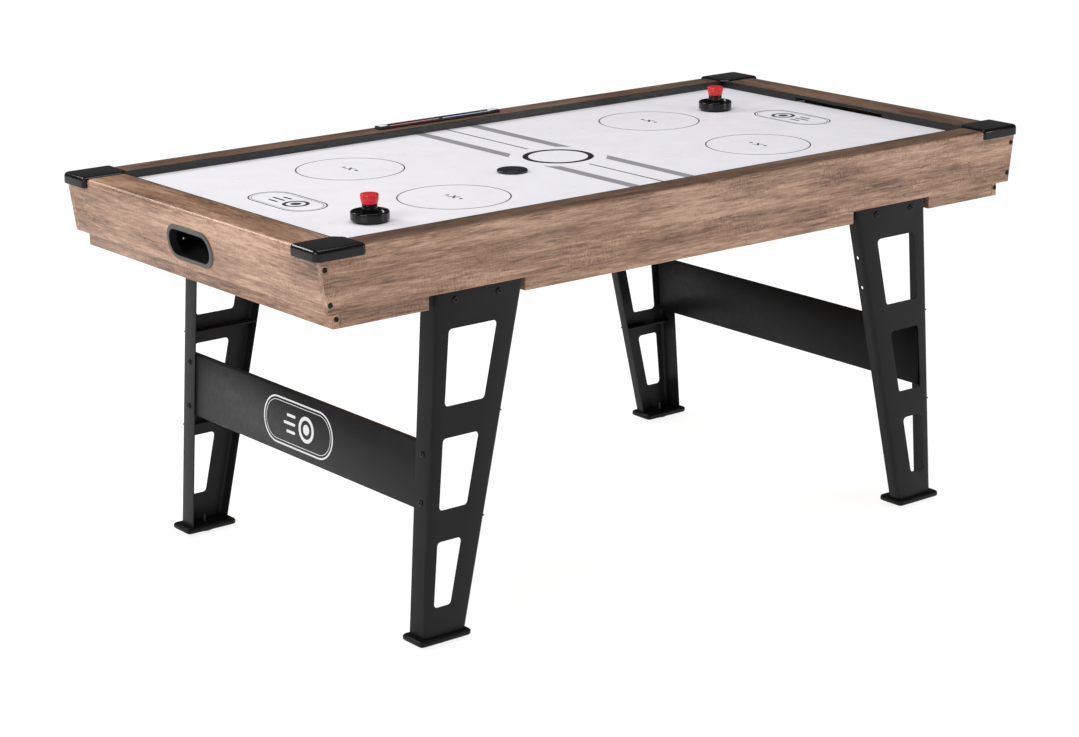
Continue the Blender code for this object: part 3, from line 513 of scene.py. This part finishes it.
def turned(profile, count, centre):
    """A profile of (radius, height) points turned about a vertical line; it starts and ends at radius 0."""
    bm = bmesh.new()
    x, y, z = centre
    rings = []
    for radius, height in profile[1:-1]:
        rings.append([bm.verts.new((x + u, y + v, z + height)) for u, v in circle(radius, count)])
    for low, high in zip(rings, rings[1:]):
        join_rings(bm, low, high)
    for ring, tip in ((rings[0], profile[0]), (rings[-1], profile[-1])):
        point = bm.verts.new((x, y, z + tip[1]))
        for i in range(count):
            bm.faces.new((ring[i], ring[(i + 1) % count], point))
    return bm


def smooth_profile(points, radius, steps=5):
    """A lathe profile whose inner corners are rounded."""
    made = [points[0]]
    for before, corner, after in zip(points, points[1:], points[2:]):
        here = Vector(corner)
        back, ahead = Vector(before) - here, Vector(after) - here
        reach = min(radius, back.length * 0.45, ahead.length * 0.45)
        start, end = here + back.normalized() * reach, here + ahead.normalized() * reach
        for k in range(steps + 1):
            t = k / steps
            made.append(tuple((1 - t) ** 2 * start + 2 * t * (1 - t) * here + t ** 2 * end))
    return made + [points[-1]]


class Print:
    """Thin printed shapes that lie on a plane given by an origin and two directions."""

    def __init__(self, origin, across=(1, 0, 0), up=(0, 1, 0), low=INK_LOW, high=INK_HIGH):
        self.origin, self.across, self.up = Vector(origin), Vector(across), Vector(up)
        self.normal = self.across.cross(self.up).normalized()
        self.low, self.high = low, high
        self.bm = bmesh.new()

    def ring(self, outline, height):
        base = self.origin + self.normal * height
        return [self.bm.verts.new(base + self.across * u + self.up * v) for u, v in outline]

    def fill(self, outline):
        low, high = self.ring(outline, self.low), self.ring(outline, self.high)
        self.bm.faces.new(low)
        self.bm.faces.new(high)
        join_rings(self.bm, low, high)

    def line(self, outer, inner):
        """A closed band between two outlines of equal length."""
        heights = (self.low, self.high)
        loops = [self.ring(outline, height) for height in heights for outline in (outer, inner)]
        for first, second in ((0, 1), (1, 3), (3, 2), (2, 0)):
            join_rings(self.bm, loops[first], loops[second])

    def done(self, name, mat, slot):
        return add(name, self.bm, mat, smooth=False)


# ---------------------------------------------------------------- playfield markings

def field_print():
    """A print on the playing surface."""
    return Print((0, 0, FIELD_TOP))


def band_outline(low_x, high_x, side):
    """A cross band that runs from the side bumper to the clear circle round the centre."""
    xs = [low_x + (high_x - low_x) * k / 8 for k in range(9)]
    near = [(x, side * math.sqrt(CLEAR_CIRCLE ** 2 - x * x)) for x in xs]
    edge = side * (FIELD_HALF_WIDTH - 0.0005)
    return near + [(high_x, edge), (low_x, edge)]


def centre_markings():
    """Centre ring, the thin centre line and the four grey bands."""
    ring = field_print()
    ring.line(circle(CENTRE_RING, 96), circle(CENTRE_RING - CENTRE_RING_LINE, 96))
    ring.done("centre_ring", INK_BLACK, "playfield_white")
    line = field_print()
    bands = field_print()
    for side in SIDES.values():
        line.fill(band_outline(-CENTRE_LINE / 2, CENTRE_LINE / 2, side))
        for end in ENDS.values():
            bands.fill(band_outline(*sorted((end * BAND[0], end * BAND[1])), side))
    line.done("centre_line", INK_LINE, "playfield_white")
    bands.done("grey_bands", INK_GREY, "playfield_white")


def face_off_circles():
    """Thin circles with a small cross and two dots in the middle."""
    for number, (x, y) in enumerate(FACE_OFF_PLACES):
        mark = field_print()
        centre = (x, y)
        mark.line(circle(FACE_OFF_RADIUS, 128, centre), circle(FACE_OFF_RADIUS - FACE_OFF_LINE, 128, centre))
        for turn in (0.25, 0.75):
            spoke = Matrix.Rotation(math.pi * turn, 2)
            mark.fill([tuple(Vector(centre) + spoke @ Vector(p)) for p in stadium(0.013, 0.0019, 4)])
        for offset in (-0.022, 0.022):
            mark.fill(circle(0.0042, 12, (x, y + offset)))
        mark.done(f"face_off_circle_{number}", INK_LINE, "playfield_white")


def motif(mark, size):
    """Generic badge: a puck with three speed lines."""
    centre = (size * 1.1, 0)
    mark.line(circle(size, 48, centre), circle(size * 0.72, 48, centre))
    mark.fill(circle(size * 0.40, 32, centre))
    for height, length in ((0.62, 1.15), (0.0, 1.55), (-0.62, 1.15)):
        bar = stadium(size * length / 2, size * 0.11, 6)
        mark.fill([(u - size * (0.35 + length / 2), v + size * height) for u, v in bar])


def badge_outline(mark, half_length, half_width, insets, count):
    """Closed bands round a badge; each has an outer and an inner inset."""
    for outer, inner in insets:
        mark.line(stadium(half_length - outer, half_width - outer, count),
                  stadium(half_length - inner, half_width - inner, count))


def field_badges():
    """An outlined badge in front of each goal."""
    for end, sign in ENDS.items():
        mark = Print((sign * BADGE_X, 0, FIELD_TOP), across=(0, sign, 0), up=(-sign, 0, 0))
        badge_outline(mark, BADGE_LENGTH / 2, BADGE_WIDTH / 2, ((0.0, 0.003), (0.007, 0.0082)), 24)
        motif(mark, BADGE_PUCK)
        mark.done(f"field_badge_{end}", INK_LINE, "playfield_white")


def air_holes():
    """Grid of small grey discs: painted shade of the air holes."""
    holes = field_print()
    count_x = int((FIELD_HALF_LENGTH - 0.02) / AIR_HOLE_PITCH)
    count_y = int((FIELD_HALF_WIDTH - 0.02) / AIR_HOLE_PITCH)
    for i in range(-count_x, count_x + 1):
        for j in range(-count_y, count_y + 1):
            outline = circle(AIR_HOLE_RADIUS, 6, (i * AIR_HOLE_PITCH, j * AIR_HOLE_PITCH))
            holes.bm.faces.new(holes.ring(outline, AIR_HOLE_HEIGHT))
    holes.done("air_holes", HOLE_GREY, "playfield_white")


# ---------------------------------------------------------------- caps and fasteners

def cap_ring(cap, sign_x, sign_y, inset, z):
    """Outline of a corner cap at a height, drawn in by an inset."""
    low, high = cap
    out_x = (high.x if sign_x > 0 else low.x) - sign_x * inset
    in_x = (low.x if sign_x > 0 else high.x) + sign_x * inset
    out_y = (high.y if sign_y > 0 else low.y) - sign_y * inset
    in_y = (low.y if sign_y > 0 else high.y) + sign_y * inset
    chamfer = CAP_CHAMFER - (2 - math.sqrt(2)) * inset
    corners = [(out_x, out_y), (in_x, out_y), (in_x, in_y + sign_y * chamfer),
               (in_x + sign_x * chamfer, in_y), (out_x, in_y)]
    radii = [CAP_ROUND - inset] + [CAP_INNER_ROUND - inset] * 4
    return [(x, y, z) for x, y in rounded(corners, radii, 12)]


def corner_caps():
    """Glossy caps with a soft rolled edge, hollow underneath like the moulding."""
    for end, sign_x, side, sign_y in CORNERS:
        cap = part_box(f"corner_cap_{side}_{end}")
        low_z, top_z = cap[0].z, cap[1].z
        rings = [cap_ring(cap, sign_x, sign_y, CAP_RIM, low_z),
                 cap_ring(cap, sign_x, sign_y, 0.0, low_z + CAP_RIM)]
        for step in range(CAP_EDGE_STEPS + 1):
            turn = math.pi / 2 * step / CAP_EDGE_STEPS
            rings.append(cap_ring(cap, sign_x, sign_y, CAP_EDGE * (1 - math.cos(turn)),
                                  top_z - CAP_EDGE * (1 - math.sin(turn))))
        piece = add(f"cap_{side}_{end}", loft(rings), CAP_PLASTIC, angle=30)
        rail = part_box(f"side_rail_{side}")
        limit_y = rail[1].y if sign_y > 0 else rail[0].y
        limit_x = cap[1].x - CAP_WALL if sign_x > 0 else cap[0].x + CAP_WALL
        corners = [(0, 0), (limit_x, 0), (limit_x, limit_y), (0, limit_y)]
        hollow = loft([[(x, y, z) for x, y in corners] for z in (low_z - 0.01, top_z - CAP_PLATE)])
        carve(piece, hollow)
        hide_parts(f"corner_cap_{side}_{end}")


def carve(piece, bm):
    """Cuts a shape out of a piece and keeps the result as its mesh."""
    bmesh.ops.recalc_face_normals(bm, faces=bm.faces)
    mesh = bpy.data.meshes.new("cutter")
    bm.to_mesh(mesh)
    bm.free()
    cutter = bpy.data.objects.new("cutter", mesh)
    bpy.context.scene.collection.objects.link(cutter)
    mod = piece.modifiers.new("carve", "BOOLEAN")
    mod.operation = "DIFFERENCE"
    mod.object = cutter
    graph = bpy.context.evaluated_depsgraph_get()
    result = bpy.data.meshes.new_from_object(piece.evaluated_get(graph))
    piece.modifiers.remove(mod)
    piece.data = result
    bpy.data.objects.remove(cutter)


def bolt_head(bm, centre, normal, radius, height, sides=24):
    """Domed head with a hexagon socket, standing on a surface."""
    normal = Vector(normal).normalized()
    side = normal.orthogonal().normalized()
    other = normal.cross(side)
    sixth = math.pi / 3
    socket = radius * 0.42 * math.cos(sixth / 2)
    hexagon = [socket / math.cos(math.tau * k / sides % sixth - sixth / 2) for k in range(sides)]
    levels = [(1.0, 0.0), (1.0, 0.25), (0.94, 0.55), (0.80, 0.85), (0.62, 1.0)]
    rings = [[radius * share] * sides for share, _ in levels] + [hexagon, hexagon]
    heights = [height * level for _, level in levels] + [height, height * 0.35]
    layers = []
    for ring, level in zip(rings, heights):
        layer = []
        for k, reach in enumerate(ring):
            t = math.tau * k / sides
            point = Vector(centre) + normal * level + (side * math.cos(t) + other * math.sin(t)) * reach
            layer.append(bm.verts.new(point))
        layers.append(layer)
    for low, high in zip(layers, layers[1:]):
        join_rings(bm, low, high)
    bm.faces.new(layers[-1])


def fasteners():
    """Bolts on the legs, the stretcher ends and the corners of the cabinet."""
    for end, e, side, s in CORNERS:
        bm = bmesh.new()
        for x in LEG_BOLT_X:
            bolt_head(bm, (e * x, s * LEG_FACE_Y, LEG_BOLT_Z), (0, s, 0), *LEG_BOLT)
        for z in STRETCHER_BOLT_Z:
            flange = FLANGE_FOOT[0] - (z - FLANGE_FOOT[1]) * LEG_LEAN
            place = (e * (flange + 0.0001), s * STRETCHER_BOLT_Y, z)
            bolt_head(bm, place, (e, 0, LEG_LEAN), *STRETCHER_BOLT)
        add(f"leg_bolts_{side}_{end}", bm, BOLT_BLACK)
        bm = bmesh.new()
        for x, z in RAIL_SCREW_PLACES:
            bolt_head(bm, (e * x, s * RAIL_SCREW_Y, z), (0, s, 0), *CORNER_SCREW)
        x, y, z = SKIRT_SCREW_PLACE
        bolt_head(bm, (e * x, s * y, z), (0, s, 0), *CORNER_SCREW)
        add(f"corner_screws_{side}_{end}", bm, BOLT_BLACK)


# ---------------------------------------------------------------- loose pieces

def pusher_profile(radius):
    """Outline of the base: a raised rim, a dish and a neck, as (radius, height) points."""
    return [(0, 0.0018), (radius - 0.003, 0.0018), (radius, 0.0045), (radius, 0.0185),
            (radius - 0.0012, 0.0205), (radius - 0.0035, 0.0205), (radius - 0.0060, 0.0150),
            (radius - 0.0110, 0.0108), (0.0195, 0.0098), (0.0160, 0.0130), (0.0150, 0.0200),
            (0.0150, 0.0330), (0, 0.0330)]


def knob_profile():
    """Outline of the red knob: it widens upwards and has a shallow hollow on top."""
    return [(0, 0.0333), (0.0153, 0.0333), (0.0160, 0.0370), (0.0176, 0.0430), (0.0180, 0.0505),
            (0.0170, 0.0530), (0.0130, 0.0535), (0.0100, 0.0530), (0, 0.0530)]


def pushers():
    """Pushers with a dished black base and a red knob, on the CAD pad."""
    for end in ENDS:
        low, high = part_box(f"pusher_pad_{end}")
        centre = ((low.x + high.x) / 2, (low.y + high.y) / 2, low.z)
        base_low, base_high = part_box(f"pusher_base_{end}")
        base = smooth_profile(pusher_profile((base_high.x - base_low.x) / 2), 0.0022)
        piece = add(f"pusher_dish_{end}", turned(base, 72, centre), GLOSS_PLASTIC,
                    f"pusher_{end}", angle=60)
        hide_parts(f"pusher_base_{end}")
        knob = smooth_profile(knob_profile(), 0.0018)
        piece = add(f"pusher_grip_{end}", turned(knob, 72, centre), RED_PLASTIC,
                    f"pusher_{end}", angle=60)
        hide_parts(f"pusher_knob_{end}")


def puck():
    """Puck with soft edges and a shallow ring groove on each face."""
    low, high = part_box("puck")
    centre = ((low.x + high.x) / 2, (low.y + high.y) / 2, low.z)
    radius, thick = (high.x - low.x) / 2, high.z - low.z
    groove = [(0.021, 0), (0.0215, 0.0004), (0.0235, 0.0004), (0.024, 0)]
    face = [(0, 0)] + groove + [(radius - 0.0014, 0), (radius, 0.0014)]
    profile = face + [(r, thick - h) for r, h in reversed(face)]
    piece = add("puck_disc", turned(smooth_profile(profile, 0.0007, 3), 72, centre), PUCK_BLACK, "puck_body",
                angle=50)
    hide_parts("puck")


# ---------------------------------------------------------------- badge, score counter, return screws

def stretcher_badge():
    """White outlined badge on the outer face of the left stretcher."""
    low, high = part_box("stretcher_left")
    middle = (low.z + high.z) / 2
    face_x = low.x + (middle - low.z) * LEG_LEAN
    up = Vector((LEG_LEAN, 0, 1)).normalized()
    mark = Print((face_x, 0.007, middle), across=(0, -1, 0), up=up, low=0.0001, high=0.0004)
    badge_outline(mark, 0.124, 0.049, ((0.0, 0.0035), (0.008, 0.0093)), 28)
    motif(mark, BADGE_PUCK)
    mark.done("stretcher_badge", INK_WHITE, "black_board")


def score_strips():
    """Coloured strips on the walls of the score grooves, and a scale of plain ticks on the groove floors."""
    low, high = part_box("score_track")
    middle = (low.y + high.y) / 2
    for end, e in ENDS.items():
        bm = bmesh.new()
        for side in SIDES.values():
            near, far = sorted(middle + side * y for y in STRIP_Y)
            x_low, x_high = sorted(e * x for x in STRIP_X)
            corners = [(x_low, near), (x_high, near), (x_high, far), (x_low, far)]
            layers = [[bm.verts.new((x, y, high.z + z)) for x, y in corners] for z in STRIP_Z]
            bm.faces.new(layers[0])
            bm.faces.new(layers[1])
            join_rings(bm, *layers)
        add(f"score_strip_{end}", bm, STRIP_RED if e < 0 else STRIP_BLUE, smooth=False)
        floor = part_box(f"score_marker_{end}")[0].z
        rule = Print((0, middle, floor - 0.0003))
        for k in range(1, TICK_COUNT + 1):
            x = e * (TICK_START + TICK_PITCH * k)
            left, right = x - TICK_HALF_WIDTH, x + TICK_HALF_WIDTH
            rule.fill([(left, -TICK_HALF_LENGTH), (right, -TICK_HALF_LENGTH),
                       (right, TICK_HALF_LENGTH), (left, TICK_HALF_LENGTH)])
        rule.done(f"score_rule_{end}", INK_WHITE, "marker_white")


def return_screws():
    """Two bright screw heads on the side wall inside each puck return."""
    for end, e in ENDS.items():
        wall_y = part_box(f"return_bezel_{end}")[1].y - RETURN_SCREW_INSET
        bm = bmesh.new()
        for x, z in RETURN_SCREW_PLACES:
            bolt_head(bm, (e * x, wall_y, z), (0, -1, 0), *RETURN_SCREW)
        add(f"return_screws_{end}", bm, STEEL)


# ---------------------------------------------------------------- stage

def pale_floor():
    """A pale floor that gives off a little light, so that it stays even."""
    bm = bmesh.new()
    bmesh.ops.create_grid(bm, x_segments=1, y_segments=1, size=60)
    mesh = bpy.data.meshes.new("floor")
    bm.to_mesh(mesh)
    bm.free()
    floor = bpy.data.objects.new("floor", mesh)
    bpy.context.scene.collection.objects.link(floor)
    paint = Surface("floor_paper", 0.9, specular=0.0)
    paint.set("Base Color", (0.30, 0.30, 0.30, 1.0))
    paint.set("Emission Color", (1.0, 1.0, 1.0, 1.0))
    paint.set("Emission Strength", 0.86)
    mesh.materials.append(paint.material)


def studio():
    """Pale surroundings that look darker in glossy surfaces."""
    world = bpy.data.worlds.new("studio")
    bpy.context.scene.world = world
    world.use_nodes = True
    tree = world.node_tree
    background = tree.nodes["Background"]
    background.inputs["Strength"].default_value = 0.42
    path = tree.nodes.new("ShaderNodeLightPath")
    mix = tree.nodes.new("ShaderNodeMix")
    mix.data_type = "RGBA"
    tree.links.new(path.outputs["Is Glossy Ray"], mix.inputs[0])
    mix.inputs[6].default_value = (1.0, 1.0, 1.0, 1.0)
    mix.inputs[7].default_value = (0.22, 0.22, 0.22, 1.0)
    tree.links.new(mix.outputs[2], background.inputs["Color"])


def lights():
    """Soft lights on the left, behind, on the right and above."""
    softbox("key", (-4.2, -1.2, 2.4), (-0.6, 0.0, 0.7), 2.6, 2.0, 80)
    softbox("back", (-2.0, 2.7, 2.9), (-0.7, 0.0, 0.8), 2.4, 0.5, 60)
    softbox("right", (2.9, -3.6, 1.6), (0.5, 0.0, 0.8), 1.5, 0.6, 48)
    softbox("top", (0.0, -0.2, 4.2), (0.0, 0.0, 0.8), 2.5, 1.8, 52)


def softbox(name, place, target, width, height, power):
    """A rectangular soft light that looks at a point."""
    light = bpy.data.lights.new(name, "AREA")
    light.shape = "RECTANGLE"
    light.size, light.size_y = width, height
    light.energy = power
    lamp = bpy.data.objects.new(name, light)
    lamp.location = place
    lamp.rotation_mode = "QUATERNION"
    lamp.rotation_quaternion = (Vector(target) - Vector(place)).to_track_quat("-Z", "Y")
    bpy.context.scene.collection.objects.link(lamp)


def camera():
    """Camera at the place and angle of the original view."""
    sin, cos = math.sin, math.cos
    forward = Vector((cos(CAMERA_PITCH) * sin(CAMERA_YAW),
                      cos(CAMERA_PITCH) * cos(CAMERA_YAW),
                      -sin(CAMERA_PITCH)))
    level = Vector((cos(CAMERA_YAW), -sin(CAMERA_YAW), 0))
    above = level.cross(forward)
    right = cos(CAMERA_ROLL) * level + sin(CAMERA_ROLL) * above
    up = -sin(CAMERA_ROLL) * level + cos(CAMERA_ROLL) * above
    data = bpy.data.cameras.new("camera")
    data.sensor_width = CAMERA_SENSOR
    data.lens = CAMERA_LENS
    data.shift_x, data.shift_y = CAMERA_SHIFT
    view = bpy.data.objects.new("camera", data)
    matrix = Matrix((right, up, -forward)).transposed().to_4x4()
    matrix.translation = CAMERA_PLACE
    view.matrix_world = matrix
    bpy.context.scene.collection.objects.link(view)
    bpy.context.scene.camera = view


centre_markings()
face_off_circles()
field_badges()
air_holes()
corner_caps()
fasteners()
stretcher_badge()
score_strips()
return_screws()
pushers()
puck()
pale_floor()
studio()
lights()
camera()
bpy.context.scene.view_settings.view_transform = "Standard"
